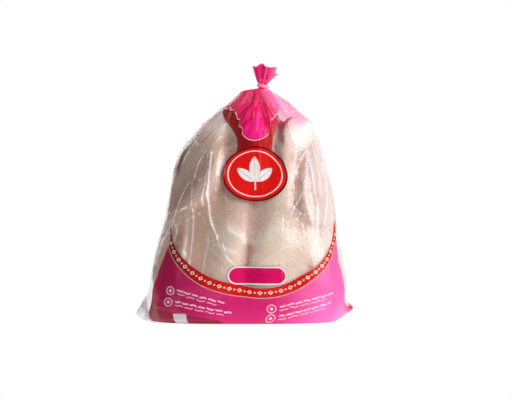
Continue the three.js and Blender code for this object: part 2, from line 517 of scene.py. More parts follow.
@dataclass(frozen=True)
class Bulge:
    """An ellipsoid of flesh, turned about the Y axis."""

    region: Region
    at: Place
    radii: Place
    turn: float = 0.0

    def distance(self, points: np.ndarray) -> np.ndarray:
        """How far each point is outside the ellipsoid.

        Args:
            points: Rows of coordinates.

        Returns:
            The signed distances.
        """
        near = points - np.array(self.at)
        c, s = math.cos(math.radians(self.turn)), math.sin(math.radians(self.turn))
        near = np.stack([near[:, 0] * c - near[:, 2] * s, near[:, 1], near[:, 0] * s + near[:, 2] * c], 1)
        radii = np.array(self.radii)
        outer = np.linalg.norm(near / radii, axis=1)
        slope = np.linalg.norm(near / radii**2, axis=1) + 1e-9
        return outer * (outer - 1) / slope


@dataclass(frozen=True)
class Limb:
    """A limb between two ends of different thickness."""

    region: Region
    start: Place
    end: Place
    thick: float
    thin: float

    def distance(self, points: np.ndarray) -> np.ndarray:
        """How far each point is outside the limb.

        Args:
            points: Rows of coordinates.

        Returns:
            The signed distances.
        """
        start, way = np.array(self.start), np.array(self.end) - np.array(self.start)
        share = np.clip((points - start) @ way / (way @ way), 0, 1)
        middle = start + share[:, None] * way
        return np.linalg.norm(points - middle, axis=1) - (self.thick + (self.thin - self.thick) * share)


def soft_least(a: np.ndarray, b: np.ndarray, blend: float) -> np.ndarray:
    """The smaller of two distances, rounded where they meet.

    Args:
        a: The first distances.
        b: The second distances.
        blend: The width of the rounding.

    Returns:
        The joined distances.
    """
    near = np.maximum(blend - np.abs(a - b), 0) / blend
    return np.minimum(a, b) - near * near * blend / 4


def default_flesh() -> tuple[Union[Bulge, Limb], ...]:
    """The forms of the bird, standing on its neck end with its breast to the front."""
    r = Region
    return (
        Bulge(r.LEFT_BREAST, (-12, 9, 92), (72, 52, 92)),
        Limb(r.LEFT_BREAST, (2, -22, 140), (-13, -34, 88), 15, 23),
        Limb(r.LEFT_BREAST, (-13, -34, 88), (-23, -30, 46), 23, 24),
        Bulge(r.LEFT_BREAST, (-50, -3, 78), (48, 45, 60), 8),
        Bulge(r.LEFT_BREAST, (-34, 1, 40), (68, 53, 42)),
        Bulge(r.RIGHT_BREAST, (28, 9, 92), (72, 52, 92)),
        Limb(r.RIGHT_BREAST, (27, -24, 140), (29, -33.5, 88), 15, 26.5),
        Limb(r.RIGHT_BREAST, (29, -33.5, 88), (25, -30, 46), 26.5, 26.5),
        Bulge(r.RIGHT_BREAST, (66, -4, 78), (44, 46, 62), -6),
        Bulge(r.RIGHT_BREAST, (46, 1, 40), (68, 53, 42)),
        Limb(r.RIGHT_BREAST, (38, -28, 130), (48, -28, 176), 21, 13),
        Bulge(r.LEFT_LEG, (-50, -5, 156), (38, 44, 54), 30),
        Limb(r.LEFT_LEG, (-46, -18, 166), (-26, -14, 214), 28, 14),
        Limb(r.LEFT_LEG, (-26, -14, 214), (-19, -10, 225), 13.5, 11),
        Limb(r.RIGHT_LEG, (46, -28, 172), (50, -26, 188), 11.5, 10.5),
        Limb(r.RIGHT_LEG, (50, -26, 188), (59, -21, 206), 10.5, 18),
        Limb(r.RIGHT_LEG, (59, -21, 206), (68, -14, 210), 18, 14.5),
        Bulge(r.FLANK, (79, -8, 142), (31, 44, 60), 6),
        Bulge(r.FLANK, (56, 14, 190), (28, 26, 34)),
        Limb(r.LEFT_WING, (-62, 8, 40), (-80, -8, 92), 24, 15),
        Limb(r.LEFT_WING, (-74, -22, 92), (-69, -34, 93), 9, 8),
        Limb(r.RIGHT_WING, (80, 8, 40), (91, -6, 104), 24, 16),
        Limb(r.RIGHT_WING, (80, -28, 62), (73, -38, 62), 12, 9),
        Bulge(r.TAIL, (14, 13, 160), (58, 40, 54)),
        Bulge(r.TAIL, (10, -1, 195), (37, 38, 48)),
    )


@dataclass(frozen=True)
class SkinFinish:
    """Moist raw poultry skin. Its places are in metres."""

    cream: Colour = ink(231, 203, 183)
    fat: Colour = ink(236, 216, 194)
    # The pale fat colour also serves as a painted highlight on the front-most ridges.
    pale_fat_and_highlight: Colour = ink(244, 234, 216)
    flesh: Colour = ink(218, 166, 150)
    # Pink is laid as painted shade away from the front.
    pink: Colour = ink(220, 172, 158)
    # Painted shade in the creases and in the breast's cleft.
    crease: Colour = ink(158, 92, 84)
    cleft_shade: Colour = ink(164, 98, 92)
    knob: Colour = ink(248, 240, 230)
    # Painted shade beside the knob.
    knob_shadow: Colour = ink(168, 86, 72)
    knob_x: float = 0.060
    knob_z: float = 0.206
    pore_spacing: float = 4.2
    leg_x: float = -0.094
    leg_z: float = 0.106

    def make(self) -> bpy.types.Material:
        """Builds the skin, with pores, fine wrinkles and pink creases, and painted light and shade on its
        forms.

        Returns:
            The material.
        """
        s = Shader("chicken_skin")
        here = s.place()
        x, z = s.part(here, "X"), s.part(here, "Z")
        crease, tip, lit_front = s.field("crease"), s.field("tip"), s.field("lit_front")
        cloud = s.noise(here, 22.0, 3.0, 0.55)
        blush = s.noise(here, 55.0, 4.0, 0.6)
        vein = s.noise(here, 160.0, 5.0, 0.65)
        # Painted shade in the cleft of the breast at the bottom, and the loose skin at the right.
        low_crease = crease.rise(0.35, 0.9) * z.fall(0.08, 0.1) * abs(x).fall(0.012, 0.03)
        ruck = x.rise(0.048, 0.056) * x.fall(0.064, 0.1) * z.rise(0.105, 0.125) * z.fall(0.185, 0.198)
        strand = s.node("ShaderNodeMapping", {}, {"Vector": here, "Scale": (1.0, 0.5, 0.16)})
        strand = abs(s.noise(strand, 260.0, 3.0, 0.6) - 0.5).fall(0.0, 0.035)
        # The end of the right leg: its painted shadow, painted shade below it and a painted highlight along
        # the shank.
        aside, above = x - self.knob_x, z - self.knob_z
        around = aside.span(above)
        shade = around.rise(0.0155, 0.0195) * around.fall(0.0205, 0.029)
        shade = shade * (-aside - 0.003).rise(0.0, 0.01) * z.rise(0.186, 0.2)
        under = around.rise(0.0165, 0.0195) * around.fall(0.021, 0.034)
        under = under * (aside - above - 0.01).rise(0.0, 0.012)
        shank_highlight = abs(aside + 0.009 - above * 0.07).fall(0.004, 0.010)
        shank_highlight = shank_highlight * z.rise(0.142, 0.162) * z.fall(0.196, 0.21)
        # Painted shade along the fold over the left leg, and a painted highlight on the ledge below it.
        along = x - self.leg_x
        leg_line = z - self.leg_z - along * 0.86 - along * along * 3.4 + (cloud - 0.5) * 0.01
        left = x.fall(-0.03, -0.012)
        fold = leg_line.rise(0.0, 0.004) * leg_line.fall(0.006, 0.034) * left
        ledge_highlight = leg_line.fall(-0.008, 0.0) * leg_line.rise(-0.03, -0.012) * left
        inputs = {"Vector": here, "Scale": 1000 / self.pore_spacing, "Randomness": 0.7}
        pores = s.node("ShaderNodeTexVoronoi", {"feature": "F1"}, inputs, out="Distance").fall(0.05, 0.42)
        colour = s.layers(
            self.cream,
            (cloud.rise(0.42, 0.66), self.fat),
            (blush.rise(0.5, 0.8) * 0.45, self.flesh),
            # Painted shade, pinker away from the front, and a painted highlight on the front-most ridges
            # among the fat patches.
            ((1.0 - lit_front) * 0.3, self.pink),
            ((lit_front + (cloud - 0.5) * 1.2).rise(0.35, 1.0) * 0.45, self.pale_fat_and_highlight),
            (tip * 0.9, self.knob),
            # Pinker flesh with painted shade deep in the creases, and painted shade in the breast's cleft.
            (crease * 0.85 + (blush - 0.5) * 0.5 * crease, self.flesh),
            (crease ** 3.0 * 0.75, self.crease),
            (low_crease * 0.45, self.cleft_shade),
            (ruck * (0.1 + blush * 0.4), ink(214, 160, 148)),
            (strand * (ruck * 0.75 + 0.08), ink(186, 122, 108)),
            # Painted shade, browner towards the left side.
            ((-x).rise(0.0, 0.05) * 0.5, ink(200, 150, 126)),
            # Painted shade beside the knob.
            (shade * (0.75 + blush * 0.3), self.knob_shadow),
            # Painted shade along the fold over the left leg, and a painted highlight on the ledge below it.
            (fold * (0.4 + blush * 0.3), ink(184, 130, 104)),
            (ledge_highlight * 0.5, ink(240, 218, 200)),
            (vein.rise(0.55, 0.8) * 0.22, ink(206, 150, 132)),
            # A painted highlight along the shank, and painted shade below the knob.
            (shank_highlight * 0.6, ink(255, 226, 214)),
            (under * (0.35 + blush * 0.3), ink(196, 138, 124)),
            (pores * 0.1, ink(240, 226, 214)),
        )
        # The knob and the shank glow as painted light.
        glow = shank_highlight.most(tip * (1.0 - aside.rise(-0.006, 0.014) * 0.6) * (1.0 - shade) * 0.7)
        inputs = {"Vector": here, "Rotation": (0.2, 0.5, 0.1), "Scale": (1.0, 1.0, 2.6)}
        fine = s.noise(s.node("ShaderNodeMapping", {}, inputs), 190.0, 2.0, 0.5)
        normal = s.bump(fine, 0.0016, 0.35, s.bump(pores, 0.0006, 0.3))
        surface = s.surface(
            Base_Color=colour,
            Roughness=0.36 + s.noise(here, 90.0, 2.0) * 0.22,
            Normal=s.bump(-strand * ruck, 0.0012, 0.35, normal),
            Subsurface_Weight=0.32,
            Subsurface_Radius=(1.0, 0.42, 0.26),
            Subsurface_Scale=0.006,
            Coat_Weight=0.15,
            Coat_Roughness=0.3,
            Emission_Color=s.mix(glow * 0.6, (0.0, 0.0, 0.0), colour),
            Emission_Strength=0.4,
        )
        return s.finish(surface)


@dataclass
class Bird:
    """The whole bird as one skin over its forms."""

    bag: BagOutline
    flesh: tuple[Union[Bulge, Limb], ...] = field(default_factory=default_flesh)
    step: float = 1.7
    low: Place = (-104.0, -66.0, 0.8)
    high: Place = (114.0, 62.0, 250.0)
    inner_blend: float = 16.0
    crease_blend: float = 6.0
    slack: float = 0.5
    feeler: float = 0.6
    sink: float = 1.6
    knobs: tuple[Place, ...] = ((58.0, -26.0, 206.0), (-25.0, -12.0, 217.0))

    def regions(self, points: np.ndarray) -> np.ndarray:
        """Distances to each region of the bird.

        Args:
            points: Rows of coordinates.

        Returns:
            One row for each region.
        """
        found: dict[Region, np.ndarray] = {}
        for form in self.flesh:
            d = form.distance(points)
            old = found.get(form.region)
            found[form.region] = d if old is None else soft_least(old, d, self.inner_blend)
        return np.stack(list(found.values()))

    def distance(self, points: np.ndarray) -> np.ndarray:
        """How far each point is outside the bird.

        Args:
            points: Rows of coordinates.

        Returns:
            The signed distances.
        """
        total, *others = self.regions(points)
        for d in others:
            total = soft_least(total, d, self.crease_blend)
        pressed = -soft_least(-total, -(self.bag.beyond(points, self.bag.push) + self.slack), 4.0)
        return np.maximum(pressed, 1.0 - points[:, 2])

    def crease(self, points: np.ndarray) -> np.ndarray:
        """How deep in a crease between two regions each point lies, from 0 to 1.

        Args:
            points: Points on the skin.

        Returns:
            The depths.
        """
        nearest = np.sort(self.regions(points), axis=0)
        share = np.exp(-np.maximum(nearest[1] - nearest[0], 0) / 7.0)
        return share * (0.7 + 0.3 * np.clip(waves(points, 30, 6, 4), -1, 1))

    def relief(self, points: np.ndarray, crease: np.ndarray) -> np.ndarray:
        """Lumps and skin folds over the smooth forms.

        Args:
            points: Points on the skin.
            crease: How deep in a crease each lies.

        Returns:
            How far each point moves outwards.
        """
        lumps = 0.9 * waves(points, 38, 10, 3)
        folds = 1 - np.abs(waves(points, 19, 8, 5, (1.0, 1.0, 1.7)))
        loose = smooth_step(0.15, 0.6, crease) + 0.15
        wrinkle = 1 - np.abs(waves(points, 8.5, 9, 8, (1.5, 1.0, 0.45)))
        gap = smooth_step(48, 58, points[:, 0]) * (1 - smooth_step(86, 96, points[:, 0]))
        ruck = gap * (points[:, 1] < 0) * np.exp(-(((points[:, 2] - 145) / 44) ** 2))
        return lumps + 0.8 * folds * loose + 0.7 * wrinkle * np.minimum(ruck + 0.25 * loose, 1)

    def net(self) -> tuple[np.ndarray, np.ndarray]:
        """Wraps a net of quads round the forms.

        Returns:
            The points in millimetres, and the quads.
        """
        low, step = np.array(self.low), self.step
        counts = np.ceil((np.array(self.high) - low) / step).astype(int) + 1
        axes = [low[k] + step * np.arange(counts[k]) for k in range(3)]
        values = np.empty(counts)
        for i, x in enumerate(axes[0]):
            y, z = np.meshgrid(axes[1], axes[2], indexing="ij")
            layer = np.stack([np.full(y.size, x), y.ravel(), z.ravel()], 1)
            values[i] = self.distance(layer).reshape(y.shape)
        inside = values < 0
        corners = sum(
            inside[a : counts[0] - 1 + a, b : counts[1] - 1 + b, c : counts[2] - 1 + c].astype(int)
            for a in (0, 1)
            for b in (0, 1)
            for c in (0, 1)
        )
        cells = np.argwhere((corners > 0) & (corners < 8))
        number = np.full(counts - 1, -1)
        number[tuple(cells.T)] = np.arange(len(cells))
        total, hits = np.zeros((len(cells), 3)), np.zeros(len(cells))
        faces = []
        for axis in range(3):
            u, v = (axis + 1) % 3, (axis + 2) % 3
            for du, dv in ((0, 0), (1, 0), (0, 1), (1, 1)):
                start = cells.copy()
                start[:, u] += du
                start[:, v] += dv
                end = start.copy()
                end[:, axis] += 1
                a, b = values[tuple(start.T)], values[tuple(end.T)]
                cut = (a < 0) != (b < 0)
                where = start.astype(float)
                where[cut, axis] += (a / np.where(cut, a - b, 1))[cut]
                total[cut] += where[cut]
                hits[cut] += 1
            first = np.take(inside, range(counts[axis] - 1), axis)
            second = np.take(inside, range(1, counts[axis]), axis)
            edges = np.argwhere(first != second)
            edges = edges[(edges[:, u] > 0) & (edges[:, v] > 0)]
            edges = edges[(edges[:, u] < counts[u] - 1) & (edges[:, v] < counts[v] - 1)]
            ring = []
            for du, dv in ((1, 1), (0, 1), (0, 0), (1, 0)):
                cell = edges.copy()
                cell[:, u] -= du
                cell[:, v] -= dv
                ring.append(number[tuple(cell.T)])
            quads = np.stack(ring, 1)
            outwards = first[tuple(edges.T)]
            faces.append(np.where(outwards[:, None], quads, quads[:, ::-1]))
        return low + step * total / hits[:, None], np.concatenate(faces)

    def settle(self, points: np.ndarray, faces: np.ndarray, rounds: int) -> np.ndarray:
        """Evens the net out by moving each point towards its neighbours.

        Args:
            points: The points.
            faces: The quads.
            rounds: How many times to do it.

        Returns:
            The moved points.
        """
        for _ in range(rounds):
            total, count = np.zeros_like(points), np.zeros(len(points))
            for k in range(4):
                for other in (faces[:, (k + 1) % 4], faces[:, (k + 3) % 4]):
                    np.add.at(total, faces[:, k], points[other])
                    np.add.at(count, faces[:, k], 1)
            points = 0.4 * points + 0.6 * total / count[:, None]
        return points

    def build(self, finish: SkinFinish) -> bpy.types.Object:
        """Makes the bird.

        Args:
            finish: The skin.

        Returns:
            The piece.
        """
        points, faces = self.net()
        points = self.settle(points, faces, 4)
        steps = self.feeler * np.eye(3)
        slope = np.stack([self.distance(points + way) - self.distance(points - way) for way in steps], 1)
        slope /= np.linalg.norm(slope, axis=1)[:, None] + 1e-9
        crease = self.crease(points)
        rise = self.relief(points, crease) - self.sink
        points = points + slope * rise[:, None]
        points = self.settle(points, faces, 1)
        points[:, 2] = np.maximum(points[:, 2], 1.0)
        away = np.min(np.linalg.norm(points[:, None] - np.array(self.knobs)[None], axis=2), axis=1)
        tip = 1 - smooth_step(14, 30, away)
        # Where the skin comes forward to the film: the skin's finish paints a highlight there and painted
        # shade elsewhere.
        lit_front = smooth_step(-9, 5, self.bag.beyond(points)) * smooth_step(5, -15, points[:, 1])
        fields = {"crease": crease, "tip": tip, "lit_front": lit_front}
        bird = make_piece("chicken", points, faces, fields, finish.make())
        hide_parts("bag")
        return bird


@dataclass(frozen=True)
class Streak:
    """A crease in the film: where it runs on the front, how high and how wide it is."""

    route: tuple[tuple[float, float], ...]
    height: float = 0.9
    width: float = 1.5

    def rise(self, x: np.ndarray, z: np.ndarray) -> np.ndarray:
        """How far the film stands up at each place.

        Args:
            x: The places' x, in millimetres.
            z: Their z.

        Returns:
            The height of the crease there.
        """
        best = np.full(x.shape, 1e9)
        share_at = np.zeros(x.shape)
        legs = len(self.route) - 1
        for i, ((ax, az), (bx, bz)) in enumerate(zip(self.route, self.route[1:])):
            dx, dz = bx - ax, bz - az
            t = np.clip(((x - ax) * dx + (z - az) * dz) / (dx * dx + dz * dz), 0, 1)
            d = np.hypot(x - ax - t * dx, z - az - t * dz)
            share_at = np.where(d < best, (i + t) / legs, share_at)
            best = np.minimum(best, d)
        fade = np.clip(4 * share_at * (1 - share_at), 0, 1) ** 0.5
        return self.height * fade * np.exp(-((best / self.width) ** 1.5))


def default_streaks() -> tuple[Streak, ...]:
    """The film's creases: the height and width of each, and its route over the front."""
    rows = (
        (2.6, 1.9, (-34, 188), (-37, 167), (-38.6, 137), (-35.8, 112), (-28, 91)),
        (1.8, 1.6, (-39, 167), (-43, 145), (-45.7, 125)),
        (1.2, 1.5, (-62, 182), (-40, 205), (-16, 236)),
        (1.2, 1.6, (-70, 168), (-58, 190), (-30, 222)),
        (0.9, 1.3, (-56, 150), (-50, 172), (-36, 196)),
        (1.0, 1.8, (-21.5, 104), (-23, 86), (-17, 70), (-6, 63)),
        (0.7, 1.2, (-27, 108), (-29, 92), (-22, 76), (-12, 66)),
        (0.6, 1.4, (-82, 112), (-66, 124), (-52, 132)),
        (0.5, 1.4, (-80, 104), (-60, 112), (-44, 122)),
        (0.5, 1.3, (-82, 120), (-74, 104), (-70, 88)),
        (1.2, 1.3, (24, 250), (44, 236), (66, 214)),
        (1.1, 1.3, (24, 251), (52, 236), (74, 218)),
        (1.1, 1.3, (22, 248), (36, 226), (52, 204), (62, 176)),
        (1.2, 1.3, (16, 248), (2, 226), (-12, 206)),
        (1.1, 1.2, (14, 249), (-8, 226), (-30, 206)),
        (1.2, 1.2, (19, 250), (16, 228), (12, 208)),
        (1.2, 1.2, (21, 250), (26, 226), (30, 200)),
        (1.1, 1.4, (76, 146), (80, 120), (78, 92), (72, 74)),
        (0.9, 1.2, (70, 178), (74, 160), (76, 138)),
        (0.9, 1.5, (88, 160), (90, 130), (86, 104)),
        (0.8, 1.1, (52, 126), (62, 118), (74, 120)),
        (0.8, 1.1, (50, 120), (58, 132), (64, 146)),
        (0.7, 1.0, (54, 110), (62, 122), (60, 138)),
        (0.8, 1.1, (34, 176), (46, 168), (50, 150)),
        (1.6, 1.9, (-100, 19), (-80, 15.5), (-55, 10), (-25, 4)),
        (1.4, 1.9, (-96, 60), (-90, 84), (-80, 108)),
        (1.2, 1.5, (-102, 44), (-97, 66), (-90, 92)),
        (1.2, 1.9, (98, 56), (102, 84), (96, 108)),
        (1.0, 1.8, (92, 30), (70, 18), (44, 12)),
        (1.4, 1.8, (104, 20), (98, 44), (96, 70)),
        (1.4, 1.8, (-104, 26), (-94, 44), (-88, 66)),
    )
    return tuple(Streak(tuple(route), height, width) for height, width, *route in rows)


@dataclass(frozen=True)
class FilmFinish:
    """Clear glossy film with a printed front. Its places are millimetres on the flat film."""

    pink: Colour = ink(218, 4, 96)
    # A pale pink, laid as painted sheen towards the right of the print.
    pale_sheen_pink: Colour = ink(252, 112, 188)
    red: Colour = ink(210, 12, 16)
    # The deep red prints the badge's rim, and is painted shade on the left of the ribbon and the band.
    deep_red_and_shade: Colour = ink(104, 2, 14)
    wine: Colour = ink(172, 6, 62)
    # Painted shade on the left of the lower field and where the film folds under.
    crimson_shade: Colour = ink(150, 0, 44)
    cream: Colour = ink(250, 226, 206)
    white: Colour = ink(248, 244, 244)
    clear: Colour = ink(246, 240, 240)
    haze: float = 0.075
    panel: float = 118.0
    low_circle: Place = (5.2, 138.1, 108.8)
    high_circle: Place = (6.4, 152.6, 110.4)
    tight_at: tuple[float, float] = (14.0, 103.0)
    tight_radii: tuple[float, float] = (75.0, 63.5)
    diamond_pitch: float = 10.5
    badge_at: tuple[float, float] = (5.0, 162.0)
    badge_radii: tuple[float, float] = (35.0, 30.0)
    badge_stretch: float = 1.14
    pill_at: tuple[float, float] = (9.3, 52.6)
    pill_size: tuple[float, float] = (30.0, 9.8)
    patch_at: tuple[float, float] = (-68.0, 5.6)
    patch_half: tuple[float, float] = (7.2, 5.0)
    neck_at: tuple[float, float] = (8.0, 258.0)
    leaves: tuple = ((0, 5.0, 13.0, 11.5), (52, 4.0, 11.5, 10.0), (-52, 4.0, 11.5, 10.0))
    mark_rows: tuple = (
        (-79, 35.5, -0.27, 50), (-80.5, 23.0, -0.2, 58), (24, 16.5, 0.24, 56), (24.5, 6.0, 0.26, 54)
    )
    mark_lines: tuple = ((1.4, 0.85, 1.0), (-2.5, 0.45, 0.86))

    def window(self, u: Socket, v: Socket, wide: tuple, tight: float) -> Socket:
        """The signed distance of the clear window's lower edge.

        Args:
            u: The place across the flat film.
            v: The height on the film.
            wide: The wide circle's place and radius.
            tight: The radius of the tighter circle at the right, which runs on straight.

        Returns:
            The distance, below nought inside the window.
        """
        left = (u - wide[0]).span(wide[1] - v) - wide[2]
        across, up = u - self.tight_at[0], self.tight_at[1] - v
        bent = across.span(up)
        straight = (across + up) * math.sqrt(0.5)
        return left.least(bent + (straight - bent) * (across - up).rise(-0.1, 0.1) - tight)

    def arc_band(self, u: Socket, v: Socket) -> tuple[Socket, Socket, Socket]:
        """The curved band over the lower field.

        Args:
            u: The place across the flat film.
            v: The height on the film.

        Returns:
            The signed distances of the lower field and of the band, and the ornaments in the band.
        """
        low = self.window(u, v, self.low_circle, self.tight_radii[0])
        high = self.window(u, v, self.high_circle, self.tight_radii[1])
        left = -89.0 - abs(v - 86.0) * 0.28 - u
        right = u - 102.0 - abs(v - 66.0) * 0.27
        side = left.most(right).most(v - 122.0)
        along = (u - 8.0).maths("ARCTAN2", 128.0 - v) * 96.0
        half = self.diamond_pitch / 2
        cell = abs((along + 400.0).maths("MODULO", self.diamond_pitch) - half)
        middle = abs((low + high) * 0.5)
        lens = (cell / 2.7 + middle / 2.3 - 1.0).within(0.12)
        hole = (cell / 1.2 + middle - 1.0).within(0.2)
        dot = ((cell - half) * (cell - half) + middle * middle - 0.9).within(0.5)
        return side.most(-low), side.most(low).most(-high), (lens * (1.0 - hole) + dot).held()

    def badge(self, u: Socket, v: Socket) -> tuple[Socket, Socket, Socket]:
        """The oval badge with a sprig of leaves.

        Args:
            u: The place across the flat film.
            v: The height on the film.

        Returns:
            The badge's coverage, its dark rim, and its white ring and leaves.
        """
        across, up = (u - self.badge_at[0]) / self.badge_stretch, v - self.badge_at[1]
        size = (across / self.badge_radii[0]).span(up / self.badge_radii[1])
        whole = (size - 1.0).within(0.014)
        rim = (size - 0.93).rise(-0.012, 0.012) * whole
        marks = (abs(size - 0.82) - 0.016).within(0.012)
        for turn, far, half, plump in self.leaves:
            c, d = math.cos(math.radians(turn)), math.sin(math.radians(turn))
            x = across * c - (up + 9.0) * d
            y = across * d + (up + 9.0) * c - far - half * 0.75
            radius = (half * half + (plump / 2) ** 2) / plump
            shift = radius - plump / 2
            leaf = (x + shift).span(y).most((x - shift).span(y)) - radius
            vein = (abs(x) - 0.28).within(0.2) * (y + half * 0.7).rise(0.0, 1.0)
            marks = marks.most(leaf.within(0.35) * (1.0 - vein * 0.8))
        stem = (abs(across) - 0.7).most(abs(up + 12.0) - 5.5).within(0.25)
        return whole, rim, marks.most(stem).held() * (1.0 - rim)

    def capsule(self, u: Socket, v: Socket, at: tuple, half: float, radius: float) -> Socket:
        """The signed distance of a lying capsule."""
        return (abs(u - at[0]) - (half - radius)).most(0.0).span(v - at[1]) - radius

    def small_marks(self, u: Socket, v: Socket, wobble: Socket) -> Socket:
        """White rings with broken lines beside them in the lower field.

        Args:
            u: The place across the flat film.
            v: The height on the film.
            wobble: Soft noise that makes the gaps uneven.

        Returns:
            Their coverage.
        """
        marks = None
        for at_u, at_v, slant, length in self.mark_rows:
            x, y = u - at_u, v - at_v
            away = x.span(y)
            mark = (abs(away - 4.3) - 0.5).within(0.25).most((away - 1.7).within(0.3))
            tilt = y - (x - 5.0) * slant
            sway = ((x + at_v) * 0.9).maths("SINE") * 0.35 + ((x - at_v) * 0.47).maths("SINE") * 0.3
            for k, (rise, thick, cut) in enumerate(self.mark_lines):
                line = (abs(tilt - rise - sway) - thick).within(0.35)
                end = abs(x - 8.0 - length * cut / 2) - length * cut / 2
                pitch = 8.6 + 2.3 * k
                beat = (x + 200.0 + 11.0 * k).maths("MODULO", pitch) - pitch * 0.84
                mark = mark.most(line * end.within(0.4) * (beat + wobble * 2.0).within(0.4))
            marks = mark if marks is None else marks.most(mark)
        return marks.held()

    def ribbon(self, u: Socket, v: Socket) -> Socket:
        """The red ribbon that flares from the badge up to the neck.

        Args:
            u: The place across the flat film.
            v: The height on the film.

        Returns:
            The ribbon's coverage.
        """
        climb = ((v - 186.0) / 48.0).most(0.0)
        left = -21.0 - climb * climb * 84.0 - u
        right = u - 28.0 - climb * climb * climb * 32.0
        return left.most(right).most(180.0 - v).within(1.2)

    def scallop(self, u: Socket) -> Socket:
        """The height of the pink top's wavy lower edge.

        Args:
            u: The place across the flat film.

        Returns:
            The height on the film.
        """
        petal = (u * u / 441.0).least(1.0) * 7.0
        right = u.rise(19.5, 23.5) * 16.0 + u.rise(26.0, 42.0) * 6.0 + u.rise(44.0, 66.0) * 4.0
        left = u.fall(-27.0, -20.5) * 8.0 + u.fall(-36.0, -31.0) * 10.0
        left = left + u.fall(-52.0, -39.0) * 8.0 + u.fall(-76.0, -52.0) * 3.0
        wave = abs((u * math.pi / 15.0).maths("SINE")) * abs(u).rise(22.0, 30.0) * 2.0
        return 198.0 + petal + right + left - wave

    def top_pink(
        self, s: Shader, u: Socket, v: Socket, facet: Socket, pleat_highlight: Socket, glow: Socket
    ) -> Socket:
        """The pink top's colour, with painted light and shade on its pleats.

        Args:
            s: The material it is for.
            u: The place across the flat film.
            v: The height on the film.
            facet: Where the top is lit as one bright petal.
            pleat_highlight: Painted highlight lines along the pleats from the neck.
            glow: Soft noise.

        Returns:
            The colour.
        """
        # Painted light on some pleat faces, painted shade towards the left, a painted sheen to the right and
        # painted highlights along the pleats.
        plane = s.noise(s.spot(self.spread(u, v) * 2.2, v * 0.01), 1.7, 1.0, 0.4).rise(0.42, 0.5)
        return s.layers(
            ink(214, 2, 76),
            (plane, ink(250, 8, 104)),
            (u.fall(-46.0, -12.0) * (0.75 - plane * 0.5), ink(176, 0, 70)),
            (facet * (0.55 + glow * 0.5), ink(255, 30, 142)),
            (u.rise(30.0, 70.0) * 0.75, self.pale_sheen_pink),
            (pleat_highlight * 0.35, ink(255, 150, 196)),
        )

    def spread(self, u: Socket, v: Socket) -> Socket:
        """The angle of a place, seen from the neck."""
        return ((u - self.neck_at[0]) / (self.neck_at[1] - v).most(3.0)).maths("ARCTANGENT")

    def make(self) -> bpy.types.Material:
        """Builds the film.

        Returns:
            The material.
        """
        s = Shader("printed_film")
        u, v = s.field("across"), s.field("up")
        crest, ear = s.field("crest"), s.field("ear")
        wobble = s.noise(s.spot(u * 0.02, v * 0.02), 1.0, 2.0) - 0.5
        glow = s.noise(s.spot(u * 0.05, v * 0.03), 1.6, 3.0)
        milk = s.noise(s.spot(u * 0.09, v * 0.008), 4.0, 4.0, 0.6).rise(0.45, 0.85)
        front = (abs(u) - self.panel).within(1.2)
        behind = 1.0 - front

        # The print on the lower half and the badge, a little wavy like the film.
        uu, vv = u + wobble * 2.2, v + wobble * 1.6
        field_edge, band_edge, ornament = self.arc_band(uu, vv)
        lower, band = field_edge.within(0.4), band_edge.within(0.4)
        trim = (abs(field_edge) - 0.3).within(0.25).most((abs(band_edge) - 0.3).within(0.25))
        trim = trim * (lower + band).rise(0.0, 0.5)
        badge, rim, sprig = self.badge(uu, vv)
        pill_edge = self.capsule(uu, vv, self.pill_at, *self.pill_size)
        pill, pill_rim = pill_edge.within(0.3), (abs(pill_edge + 0.7) - 0.7).within(0.25)
        marks = self.small_marks(uu, vv, wobble) * lower
        patch = abs(u - self.patch_at[0]) - self.patch_half[0]
        patch = patch.most(abs(v - self.patch_at[1]) - self.patch_half[1]).within(0.4)

        # The pink top with its scalloped edge, gathered towards the neck.
        edge = self.scallop(u)
        valance = (edge - v).within(0.7) * (abs(u) - 124.0).within(2.0)
        hem = (abs(v - edge) - 0.42).within(0.25)
        ribbon = self.ribbon(u, v) * front
        # Painted highlight lines along the pleats from the neck.
        pleat_highlight = abs(s.noise(s.spot(self.spread(u, v) * 4.6, v * 0.006), 1.4, 1.0, 0.5) - 0.5)
        pleat_highlight = pleat_highlight.fall(0.004, 0.018) * v.rise(196.0, 216.0)
        petal_top = (228.8 - (u - 2.5) * 2.34).most(215.0 - (u - 8.4) * 0.84).least(227.0 + u * 0.7)
        facet = (petal_top - v + wobble * 4.0).rise(-0.7, 0.7)
        right_veil = (v + wobble * 26.0 - (u - 60.0) * 0.16).rise(206.0, 218.0)
        right_veil = u.rise(22.0, 36.0) * u.fall(112.0, 122.0) * right_veil

        # The back of the film, seen through at the left shoulder; painted shade to the left, painted sheen
        # to the right and painted shade where the film folds under.
        shoulder = (u - wobble * 9.0).fall(-106.5, -101.5) * (v + wobble * 30.0).rise(152.0, 172.0)
        rear = shoulder * (u + v * 0.5).fall(-111.0, -79.0).most(u.rise(-160.0, -140.0))
        rear_top = behind * (v + wobble * 12.0).rise(208.0, 226.0)
        rear_field = behind * (v + wobble * 10.0).fall(43.0, 45.0) * abs(u).rise(148.0, 152.0)
        # Painted shade where the film folds under at the bottom left.
        fold = (v + (u + 100.0) * 0.186).fall(16.7, 18.3) * u.fall(-28.0, -20.0)
        shaded_left = (u - wobble * 30.0).fall(-96.0, -30.0)
        lit_right = (u + wobble * 24.0).rise(18.0, 84.0)
        left_tip, right_tip = ear * u.fall(-100.0, -90.0), ear * u.rise(90.0, 100.0)

